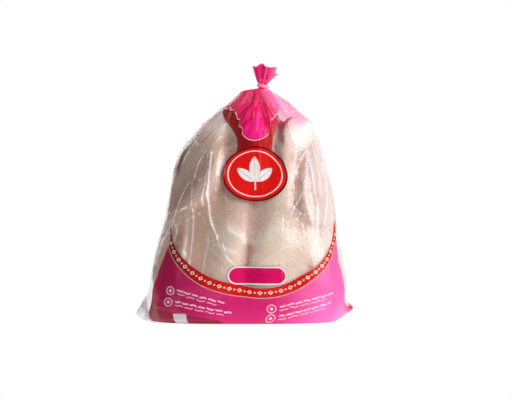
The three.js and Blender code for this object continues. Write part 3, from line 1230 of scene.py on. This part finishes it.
        # The lower field's pink, with painted shade to the left and under the fold, and a painted sheen to
        # the right.
        shaded_field_pink = s.layers(
            ink(214, 34, 114),
            (lit_right * 0.85, self.pale_sheen_pink),
            ((shaded_left * 0.7).most(fold * 0.95), self.crimson_shade),
        )
        colour = s.layers(
            self.clear,
            # The ribbon, painted darker to the left as shade.
            (ribbon, s.mix(u.fall(-10.0, 6.0) * 0.6, self.red, self.deep_red_and_shade)),
            (rear, self.wine),
            (rear_top, ink(255, 120, 180)),
            (rear_field, self.pink),
            (valance.most(right_veil), self.top_pink(s, u, v, facet, pleat_highlight, glow)),
            (hem * front * ribbon.most(valance), self.cream),
            (badge, ink(234, 18, 14)),
            (rim, self.deep_red_and_shade),
            (sprig * badge, self.white),
            (lower, shaded_field_pink),
            # The band, painted darker to the left as shade.
            (band, s.mix(shaded_left * 0.8, self.red, self.deep_red_and_shade)),
            (ornament * band, self.cream),
            (trim * front, self.cream),
            (marks * 0.85, ink(252, 214, 232)),
            (patch * lower, ink(214, 206, 210)),
            (pill, self.pink),
            (pill_rim * pill, self.white),
            (left_tip, ink(226, 224, 230)),
            (right_tip, ink(222, 34, 96)),
        )

        # How much each print covers, and the haze of the bare film, with painted sheen at the right and
        # painted highlights along its creases.
        ink_cover = lower * 0.95
        for print_part in (
            band * 0.96,
            badge * 0.97,
            pill * 0.97,
            ribbon * 0.92,
            rear * 0.9,
            rear_field * 0.9,
            rear_top * 0.35,
            valance * 0.95 * (1.0 - u.rise(20.0, 60.0) * 0.72),
            right_veil * (0.1 + glow * 0.22 + pleat_highlight * 0.3),
            left_tip * 0.72,
            right_tip * 0.92,
        ):
            ink_cover = ink_cover.most(print_part)
        ink_cover = ink_cover.held()
        bare = ink_cover.fall(0.0, 0.4)
        sheen = s.node("ShaderNodeLayerWeight", {}, {"Blend": 0.3}, out="Facing")
        # Painted sheen and haze on the right of the film.
        right_sheen = (u + wobble * 40.0).rise(52.0, 92.0) * (v + wobble * 60.0).rise(20.0, 80.0)
        left_haze = (u - wobble * 40.0).fall(-50.0, -20.0) * (v + wobble * 60.0).rise(100.0, 150.0)
        cloudy = self.haze + milk * 0.06 + right_sheen * (0.3 + milk * 0.2) + left_haze * milk * 0.13
        cover = ink_cover.most((cloudy + crest * 0.6 + sheen ** 3.0 * 0.3).held())

        # What glows, as painted light: creases that catch the light, the sheen at the right, and print that
        # is lit through.
        bright = (crest * bare * (0.45 + u.fall(-30.0, 30.0) * 0.55)).most(right_sheen * bare * 0.55)
        lit_through = v.rise(190.0, 214.0) * (1.0 - ribbon * (1.0 - valance))
        lit_through = lit_through * (0.3 + facet * 0.1 + u.rise(20.0, 60.0) * 0.45)
        lit_through = s.mix(lit_through.most(badge * 0.35), (0.0, 0.0, 0.0), colour)
        ripple = s.noise(s.spot(u * 0.06, v * 0.01), 2.0, 3.0, 0.5)
        crumple = s.noise(s.spot(u * 0.03, v * 0.03), 3.0, 3.0, 0.5)
        surface = s.surface(
            Base_Color=colour,
            Metallic=bare * (1.0 - crest - right_sheen * 0.7).held() * 0.4,
            Roughness=0.15 + milk * 0.08 + ink_cover * 0.08,
            Specular_IOR_Level=0.2,
            Normal=s.bump(crumple, 0.0012, 0.4, s.bump(ripple, 0.0014, 0.5)),
            Emission_Color=s.mix(bright, lit_through, (1.0, 1.0, 1.0)),
            Emission_Strength=0.45,
        )
        return s.finish_clear(cover, surface)


@dataclass
class FilmBag:
    """The film from its base, over the bird, to the neck."""

    bag: BagOutline
    bird: Bird
    around: int = 440
    rows: int = 220
    crowding: float = 0.33
    film_gap: float = 1.2
    least_gap: float = 0.7
    soft_blend: tuple[float, float] = (1.0, 5.0)
    slack: tuple[float, float] = (8.0, 2.0)
    base_inset: float = 3.0
    base_rings: tuple[float, ...] = (0.02, 0.3, 0.6, 0.9)
    flat_width: float = 250.0
    left_ear: tuple = ((0, 12), (3, 13), (7, 15.5), (13, 13), (18, 9.5), (22.6, 7), (29, 2.5), (36, 0))
    right_ear: tuple = ((0, 2), (5, 4), (9.4, 7), (13, 10), (16, 8.4), (18, 5.5), (22, 1.2), (27, 0))
    streaks: tuple[Streak, ...] = field(default_factory=default_streaks)

    def row_heights(self) -> np.ndarray:
        """Heights of the rings, evenly spaced along the film.

        Returns:
            One height for each row.
        """
        z = np.linspace(0, self.bag.levels[-1].z, 4000)
        radius = self.bag.ring(z)[2]
        length = np.concatenate([[0], np.cumsum(np.hypot(np.diff(z), 0.8 * np.diff(radius)))])
        return np.interp(np.linspace(0, length[-1], self.rows), length, z)

    def bird_reach(self, points_at: Callable[[np.ndarray], np.ndarray], taut: np.ndarray) -> np.ndarray:
        """How far out the bird comes along each point's ray.

        Args:
            points_at: Gives the points for a grid of reaches.
            taut: The tight film's reach.

        Returns:
            The bird's reach, or 0 where the ray misses it.
        """
        reach = taut + 14
        for _ in range(14):
            gap = self.bird.distance(points_at(reach)).reshape(reach.shape)
            reach = np.maximum(reach - 0.85 * gap, 4.0)
        return np.where(gap < 1.5, reach, 0.0)

    @staticmethod
    def spread(grid: np.ndarray, rounds: int) -> np.ndarray:
        """Blurs a grid that closes on itself across its columns.

        Args:
            grid: The values, row by row.
            rounds: How many times to blur.

        Returns:
            The blurred values.
        """
        for _ in range(rounds):
            grid = (np.roll(grid, 1, 1) + 2 * grid + np.roll(grid, -1, 1)) / 4
            padded = np.pad(grid, ((1, 1), (0, 0)), "edge")
            grid = (padded[:-2] + 2 * grid + padded[2:]) / 4
        return grid

    def folds(self, angle: np.ndarray, z: np.ndarray, across: np.ndarray) -> np.ndarray:
        """Pleats from the neck and loose folds over the whole bag.

        Args:
            angle: The angle of each point.
            z: Its height.
            across: Its place across the flat film.

        Returns:
            How far out the film moves.
        """
        neck = self.bag.levels[-1].z
        drop = np.clip((neck - z) / 75, 0, 1)
        fan = np.sin(np.pi * np.minimum(1, drop * 1.25) ** 0.8) * (1 - drop)
        pleat = np.cos(11 * angle + 0.7) + 0.4 * np.cos(17 * angle + 2.3) + 0.4 * np.cos(5 * angle - 1)
        wander = 0.5 * np.sin(z / 31.0) + 0.35 * np.sin(z / 17.0 + 2 * angle)
        sharp = 1 - np.abs(np.sin(6 * angle + wander)) + 0.6 * (1 - np.abs(np.sin(9.5 * angle - wander + 1)))
        place = np.stack([across, z], 1)
        long_folds = (1 - np.abs(waves(place, 30, 8, 21, (1.0, 0.15)))) ** 3
        thin_folds = np.clip(1 - np.abs(waves(place, 15, 8, 25, (1.0, 0.1))), 0, 1) ** 4
        cross_folds = (1 - np.abs(waves(place, 46, 7, 22, (0.7, 0.6)))) ** 5
        body = smooth_step(6, 40, z) * (1 - smooth_step(225, 250, z))
        high = 0.35 + 0.65 * smooth_step(150, 215, z)
        side = 0.45 + 0.75 * np.abs(np.cos(angle)) ** 2
        loose = 0.9 * side * long_folds + 0.5 * high * thin_folds + 0.6 * side * cross_folds
        calm = 1 - 0.55 * smooth_step(10, 60, across) * smooth_step(175, 150, across)
        return fan * (pleat * 1.9 + sharp * 2.6 - 1.4) + body * (loose * calm - 1.1 * np.cos(angle) ** 2)

    def ears(self, angle: np.ndarray, z: np.ndarray) -> np.ndarray:
        """How far the pinched bottom corners stand out.

        Args:
            angle: The angle of each point.
            z: Its height.

        Returns:
            The distances.
        """
        total = np.zeros_like(angle)
        for middle, width, table in ((np.pi, 0.22, self.left_ear), (0.0, 0.2, self.right_ear)):
            off = np.abs(np.arctan2(np.sin(angle - middle), np.cos(angle - middle)))
            heights, reach = np.array(table, float).T
            total += np.maximum(through(heights, reach, z), 0) * np.clip(1 - off / width, 0, 1) ** 1.5
        return total

    def build(self, finish: FilmFinish) -> bpy.types.Object:
        """Makes the film.

        Args:
            finish: The printed film.

        Returns:
            The piece.
        """
        z = self.row_heights()
        turn = np.linspace(-1, 1, self.around + 1)
        angle = np.pi * turn - self.crowding * np.sin(np.pi * turn) - np.pi / 2
        cx, cy, *_ = self.bag.ring(z)
        high = np.repeat(z[:, None], len(angle), 1)
        round_by = np.repeat(angle[None], len(z), 0)
        taut = self.bag.reach(high.ravel(), round_by.ravel()).reshape(high.shape)

        def points_at(reach: np.ndarray) -> np.ndarray:
            """The points of the film for a grid of reaches."""
            x = cx[:, None] + reach * np.cos(angle)
            y = cy[:, None] + reach * np.sin(angle)
            return np.stack([x.ravel(), y.ravel(), high.ravel()], 1)

        bird = self.bird_reach(points_at, taut)
        draped = np.maximum(self.spread(bird[:, :-1], 24), 0.985 * self.spread(bird[:, :-1], 6))
        draped = np.concatenate([draped, draped[:, :1]], 1) + self.film_gap
        facing = np.sin(round_by)
        draped = np.minimum(draped, taut + self.bag.push * np.clip(-facing, 0, 1) ** 2)
        loose = (smooth_step(5, 80, z) * (1 - smooth_step(200, 240, z)))[:, None]
        loose = taut - loose * np.abs(facing) * np.where(facing < 0, *self.slack)
        blend = self.soft_blend[0] + (self.soft_blend[1] - self.soft_blend[0]) * facing**2
        blend = blend * (1 - smooth_step(195, 235, z))[:, None]
        soft = 0.5 * (loose + draped + np.hypot(loose - draped, blend)) - blend / 6
        inset = self.base_inset * (1 - smooth_step(0, 4, z))[:, None]
        reach = np.where(high < 4, taut, soft) - inset
        flat = points_at(reach).reshape(*reach.shape, 3)
        step = np.hypot(np.diff(flat[..., 0], axis=1), np.diff(flat[..., 1], axis=1))
        run = np.concatenate([np.zeros((len(z), 1)), np.cumsum(step, 1)], 1)
        middle = self.around // 2
        across = (run - run[:, middle : middle + 1]) / (run[:, -1:] / 2) * self.flat_width
        creases = self.folds(round_by.ravel(), high.ravel(), across.ravel()).reshape(reach.shape)
        front = smooth_step(0.25, -0.15, np.sin(round_by))
        for streak in self.streaks:
            creases = creases + front * streak.rise(flat[..., 0], high)
        ears = self.ears(round_by, high)
        level = self.spread(creases[:, :-1], 8)[:, np.r_[0 : self.around, 0]]
        crest = np.clip((creases - level) * 1.6, 0, 1)
        reach = reach + creases + ears
        reach[:, -1] = reach[:, 0]
        for _ in range(4):
            gap = self.bird.distance(points_at(reach)).reshape(reach.shape)
            reach = reach + np.where((high > 3) & (high < 248), np.maximum(self.least_gap - gap, 0), 0)
        reach[-1] = self.bag.levels[-1].front
        points = points_at(reach)
        foot, heart = points[: self.around + 1], np.array([cx[0], cy[0], 0.0])
        base = [heart + (foot - heart) * (share, share, 1) for share in self.base_rings]
        points = np.concatenate([*base, points])
        under = np.zeros((len(base), self.around + 1))
        fields = {
            "across": np.concatenate([np.tile(across[0], (len(base), 1)), across]).ravel(),
            "up": np.concatenate([under, high]).ravel(),
            "crest": np.concatenate([under, crest]).ravel(),
            "ear": smooth_step(1.5, 5.5, np.concatenate([under, ears])).ravel(),
        }
        faces = grid_faces(self.rows + len(base), self.around + 1)
        film = make_piece("film_bag", points, faces, fields, finish.make())
        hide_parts("bag")
        return film


@dataclass
class Tuft:
    """The gathered film above the band."""

    x: float = 20.0
    foot: float = 254.6
    neck_top: float = 259.9
    neck_radius: float = 4.7
    height: float = 21.6
    depth: float = 0.72
    around: int = 300
    rows: int = 46
    reach: float = 14.3
    lean: float = 3.4
    layers: tuple = ((1.0, 9, 0.4), (0.74, 7, 1.3), (0.46, 5, 2.3))

    def layer(self, size: float, pleats: int, phase: float) -> tuple[np.ndarray, np.ndarray, np.ndarray]:
        """One pleated sheet of the tuft.

        Args:
            size: Its width against the outer sheet.
            pleats: How many large folds it has.
            phase: Turns the folds.

        Returns:
            Its points, their height from 0 to 1, and how far out on a pleat they are.
        """
        share = np.linspace(0, 1, self.rows)[:, None]
        angle = np.linspace(0, 2 * np.pi, self.around + 1)[None] + 0 * share
        up = share + 0 * angle
        uneven = 0.45 * np.sin(2 * angle + phase) + 0.3 * np.sin(3 * angle - phase)
        fold = 1 - 2 * np.abs(np.sin(pleats / 2 * angle + phase + uneven))
        finer = 1 - 2 * np.abs(np.sin((pleats + 2) * angle + 2 * phase - uneven))
        ridge = 0.68 * fold + 0.32 * finer
        deep = np.minimum(1, up * 5) * (0.75 + 0.25 * up)
        swell = 1 + deep * (0.22 * ridge - 0.12)
        half = self.neck_radius + (self.reach * size - self.neck_radius) * up**0.8
        flat = 1 + (self.depth - 1) * np.minimum(1, up * 4)
        c = np.cos(angle)
        x = self.x + self.lean * up + half * swell * c
        y = half * swell * flat * np.sin(angle)
        rim = 0.85 - 0.03 * c + 0.12 * np.exp(-(((c + 0.45) / 0.2) ** 2)) + 0.03 * ridge
        rim = rim - 0.3 * smooth_step(0.86, 1, c) * size - 0.03 * np.sin(angle) - 0.02 * np.cos(5 * angle)
        z = self.neck_top + self.height * up * (1 + (rim - 1) * up**0.5)
        return np.stack([x, y, z], 2), up, ridge

    def build(self) -> bpy.types.Object:
        """Makes the tuft.

        Returns:
            The piece.
        """
        points, faces, up, crests = [], [], [], []
        count = 0
        for size, pleats, phase in self.layers:
            sheet, high, ridge = self.layer(size, pleats, phase)
            stem = sheet[:1].copy()
            stem[..., 2] = self.foot
            points.append(np.concatenate([stem, sheet]).reshape(-1, 3))
            faces.append(grid_faces(self.rows + 1, self.around + 1, count))
            up.append(np.concatenate([high[:1], high]).ravel())
            # Inner sheets get lower crests, which the finish paints as shade.
            crests.append(np.concatenate([ridge[:1], ridge]).ravel() + 1.2 * (size - 1))
            count += points[-1].shape[0]
        fields = {"share": np.concatenate(up), "crest": np.concatenate(crests)}
        tuft = make_piece("film_tuft", np.concatenate(points), np.concatenate(faces), fields, self.dress())
        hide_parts("bag")
        return tuft

    def dress(self) -> bpy.types.Material:
        """The printed film where it is gathered, with painted light and shade on its pleats.

        Returns:
            The material.
        """
        s = Shader("gathered_film")
        here = s.place()
        up, crest = s.field("share"), s.field("crest")
        cloud = s.noise(here, 70.0, 2.0)
        right = s.part(here, "X").rise(0.022, 0.036)
        # Painted light on the pleat ridges and towards the right, and painted shade in the folds and on the
        # inner sheets.
        colour = s.layers(
            ink(200, 6, 84),
            ((crest + cloud * 0.4).rise(-0.9, 0.2), ink(232, 24, 116)),
            ((crest + cloud * 0.3).rise(0.1, 0.9) * 0.8, ink(255, 104, 180)),
            ((crest + cloud * 0.5).rise(0.95, 1.3) * 0.25, ink(255, 206, 228)),
            (right * (0.25 + cloud * 0.5), ink(250, 150, 198)),
        )
        surface = s.surface(
            Base_Color=colour,
            Roughness=0.2 + cloud * 0.1,
            Normal=s.bump(cloud, 0.0006, 0.3),
            Subsurface_Weight=0.25,
            Subsurface_Scale=0.004,
            # The colour glows as painted light.
            Emission_Color=colour,
            Emission_Strength=0.3,
        )
        cover = 0.97 - (crest + cloud).rise(0.7, 1.6) * up * 0.25 - right * up * 0.2
        return s.finish_clear(cover, surface)


@dataclass
class CornerTab:
    """The folded white corner of the film at the bottom left."""

    outline: tuple = ((-119.3, 7.0), (-113.6, 15.2), (-101.0, 9.4), (-109.0, 0.5))
    depth: float = -7.0
    steps: int = 28

    def build(self) -> bpy.types.Object:
        """Makes the corner as a bent sheet with two layers.

        Returns:
            The piece.
        """
        a, b, c, d = (np.array(p, float) for p in self.outline)
        t = np.linspace(0, 1, self.steps)
        i, j = (g[..., None] for g in np.meshgrid(t, t, indexing="ij"))
        flat = a * (1 - i) * (1 - j) + b * i * (1 - j) + c * i * j + d * (1 - i) * j
        bulge = np.sin(np.pi * i) * np.sin(np.pi * j)
        bend = 2.2 * bulge + 0.5 * np.sin(7 * i + 4 * j) + 1.6 * np.abs(i - 0.6 * j)
        layers = []
        for side in (-1, 1):
            swell = side * 1.1 * bulge**0.5
            layers.append(np.concatenate([flat[..., :1], self.depth - bend + swell, flat[..., 1:]], 2))
        points = np.concatenate([g.reshape(-1, 3) for g in layers])
        points[:, 2] = np.maximum(points[:, 2], 0.3)
        count = self.steps * self.steps
        faces = np.concatenate([grid_faces(self.steps, self.steps, k * count) for k in (0, 1)])
        tab = make_piece("corner_tab", points, faces, {}, self.dress())
        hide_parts("bag")
        return tab

    def dress(self) -> bpy.types.Material:
        """Milky white film.

        Returns:
            The material.
        """
        s = Shader("milky_film")
        cloud = s.noise(s.place(), 140.0, 3.0)
        colour = s.mix(cloud, ink(214, 212, 222), ink(240, 238, 244))
        surface = s.surface(
            Base_Color=colour,
            Roughness=0.3 + cloud * 0.1,
            # A faint glow of painted light.
            Emission_Color=colour,
            Emission_Strength=0.18,
        )
        return s.finish(surface)


@dataclass
class NeckBand:
    """The narrow band that closes the bag."""

    at: Place = (20.0, 0.0, 257.6)
    inner: float = 5.15
    thickness: float = 1.35
    height: float = 3.8
    tilt: float = 17.0
    around: int = 160
    section: int = 28
    pale: Colour = ink(248, 142, 188)

    def build(self) -> bpy.types.Object:
        """Makes the band, slightly slanted, with drawn-in ridges.

        Returns:
            The piece.
        """
        turn = np.linspace(0, 2 * np.pi, self.around, endpoint=False)[:, None]
        ring = np.linspace(0, 2 * np.pi, self.section, endpoint=False)[None]
        c, s = np.cos(ring), np.sin(ring)
        square = (np.abs(c) ** 3 + np.abs(s) ** 3) ** (-1 / 3)
        ridge = 0.16 * np.cos(9 * turn + 0.6) + 0.1 * np.cos(14 * turn)
        radius = self.inner + self.thickness / 2 + square * c * self.thickness / 2 + ridge * (c > 0) * c
        z = square * s * self.height / 2 * (1 + 0.08 * np.cos(3 * turn + 1))
        z = z + 0.35 * np.sin(6 * ring + 5 * turn) * (c > 0.2) * 0.3
        x, y = radius * np.cos(turn), radius * np.sin(turn)
        a = math.radians(self.tilt)
        x, z = x * math.cos(a) + z * math.sin(a), z * math.cos(a) - x * math.sin(a)
        points = np.stack([x, y, z], 2) + np.array(self.at)
        index = np.arange(self.around * self.section).reshape(self.around, self.section)
        across, along = np.roll(index, -1, 1), np.roll(index, -1, 0)
        both = np.roll(across, -1, 0)
        faces = np.stack([g.ravel() for g in (index, along, both, across)], 1)
        band = make_piece("band_on_neck", points.reshape(-1, 3), faces, {}, self.dress())
        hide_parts("neck_tie")
        return band

    def dress(self) -> bpy.types.Material:
        """Pale translucent plastic with fine drawn lines.

        Returns:
            The material.
        """
        s = Shader("pale_band")
        drawn = s.node("ShaderNodeMapping", {}, {"Vector": s.place(), "Scale": (1.0, 1.0, 6.0)})
        lines = s.noise(drawn, 300.0, 4.0)
        colour = s.mix(lines.rise(0.45, 0.8), self.pale, ink(253, 200, 222))
        surface = s.surface(
            Base_Color=colour,
            Roughness=0.24 + lines * 0.15,
            Normal=s.bump(lines, 0.0003, 0.4),
            Subsurface_Weight=0.3,
            Subsurface_Scale=0.003,
            Coat_Weight=0.2,
            Coat_Roughness=0.2,
            # A glow of painted light.
            Emission_Color=colour,
            Emission_Strength=0.25,
        )
        return s.finish(surface)


@dataclass(frozen=True)
class SoftBox:
    """A soft rectangular light."""

    name: str
    at: Place
    size: tuple[float, float]
    power: float
    tint: Colour = (1.0, 1.0, 1.0)

    def build(self, aim: Vector) -> None:
        """Places the light, facing the given point."""
        lamp = bpy.data.lights.new(self.name, "AREA")
        lamp.shape = "RECTANGLE"
        lamp.size, lamp.size_y = self.size
        lamp.energy = self.power
        lamp.color = self.tint
        aim_at(self.name, lamp, Vector(self.at), aim)


@dataclass
class Studio:
    """The pale floor, the lights, the surroundings and the camera."""

    middle: Place = (0.01265, 0.0, 0.1325)
    light_aim: Place = (0.0, 0.0, 0.13)
    pixel: float = 1.1
    frame_width: int = 512
    away: float = 2.4
    raised: float = 1.5
    sensor: float = 36.0
    farthest: float = 50.0
    floor_reach: float = 0.3
    floor_edges: int = 96
    ambient: float = 0.22
    lights: tuple[SoftBox, ...] = (
        SoftBox("key", (1.52, -0.86, 0.52), (1.0, 1.3), 21.5, (1.0, 0.99, 0.98)),
        SoftBox("spark", (0.85, -1.25, 1.0), (0.08, 0.5), 1.6),
        SoftBox("top", (0.3, -0.5, 1.5), (0.6, 0.25), 3.5),
        SoftBox("left_strip", (-1.2, -0.9, 0.5), (0.12, 1.1), 1.6, (0.97, 0.98, 1.0)),
        SoftBox("front_fill", (0.6, -2.1, 0.5), (0.4, 0.8), 1.0),
        SoftBox("rim", (0.9, 0.9, 0.8), (0.5, 0.8), 4.0),
        SoftBox("back_fill", (-0.9, 1.7, 0.8), (0.8, 1.0), 9.0),
    )

    def build(self) -> None:
        """Makes the whole studio."""
        self.floor()
        self.surroundings()
        for light in self.lights:
            light.build(Vector(self.light_aim))
        self.camera()

    def floor(self) -> None:
        """A pale round floor that fades out into the white round it."""
        mesh = bpy.data.meshes.new("floor")
        turn = np.linspace(0, 2 * np.pi, self.floor_edges, endpoint=False)
        ring = [(self.floor_reach * math.cos(a), self.floor_reach * math.sin(a), 0) for a in turn]
        mesh.from_pydata(ring, [], [tuple(range(self.floor_edges))])
        s = Shader("pale_floor")
        here = s.place()
        grain = s.noise(here, 60.0, 3.0)
        colour = s.mix(grain * 0.1, (0.93, 0.93, 0.93), (0.88, 0.88, 0.89))
        away = s.node("ShaderNodeVectorMath", {"operation": "LENGTH"}, {0: here}, out="Value")
        surface = s.surface(
            Base_Color=colour,
            Roughness=0.75,
            Alpha=1.0 - away.rise(0.15, self.floor_reach * 0.98),
            Emission_Color=(1.0, 1.0, 1.0),
            Emission_Strength=0.55,
        )
        mesh.materials.append(s.finish(surface))
        plane = bpy.data.objects.new("floor", mesh)
        plane.location = (0, 0, -0.0002)
        bpy.context.scene.collection.objects.link(plane)
        plane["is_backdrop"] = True

    def surroundings(self) -> None:
        """White where the camera looks past the pack, and softer light on everything else."""
        world = bpy.data.worlds.new("surroundings")
        world.use_nodes = True
        bpy.context.scene.world = world
        tree = world.node_tree
        tree.nodes.clear()
        path = tree.nodes.new("ShaderNodeLightPath")
        strength = tree.nodes.new("ShaderNodeMapRange")
        strength.inputs["To Min"].default_value = self.ambient
        strength.inputs["To Max"].default_value = 1.0
        light = tree.nodes.new("ShaderNodeBackground")
        light.inputs["Color"].default_value = (1.0, 1.0, 1.0, 1.0)
        out = tree.nodes.new("ShaderNodeOutputWorld")
        tree.links.new(path.outputs["Is Camera Ray"], strength.inputs["Value"])
        tree.links.new(strength.outputs["Result"], light.inputs["Strength"])
        tree.links.new(light.outputs["Background"], out.inputs["Surface"])
        bpy.context.scene.view_settings.view_transform = "Standard"

    def camera(self) -> None:
        """The photograph's view: level, from the front, through a long lens."""
        lens = bpy.data.cameras.new("camera")
        lens.sensor_width = self.sensor
        lens.lens = self.sensor * self.away / (self.frame_width * self.pixel * MM)
        lens.clip_end = self.farthest
        rise, middle = math.radians(self.raised), Vector(self.middle)
        back = Vector((0.0, -math.cos(rise), math.sin(rise)))
        bpy.context.scene.camera = aim_at("camera", lens, middle + back * self.away, middle)


def corners(box: tuple[Vector, Vector]) -> list[list[float]]:
    """A box's two corners as plain lists."""
    return [list(corner) for corner in box]


def main() -> None:
    """Builds the bird, the film round it, the tuft and the band, and sets the studio up."""
    logging.basicConfig(level=logging.INFO, format="%(name)s: %(message)s")
    cad_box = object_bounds()
    bag = BagOutline()
    bird = Bird(bag)
    bird.build(SkinFinish())
    FilmBag(bag, bird).build(FilmFinish())
    Tuft().build()
    CornerTab().build()
    NeckBand().build()
    Studio().build()
    {"cad": corners(cad_box), "visual": corners(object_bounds())}
    LOG.info("%d CAD nodes in the frame", len(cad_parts))


if __name__ == "__main__":
    main()
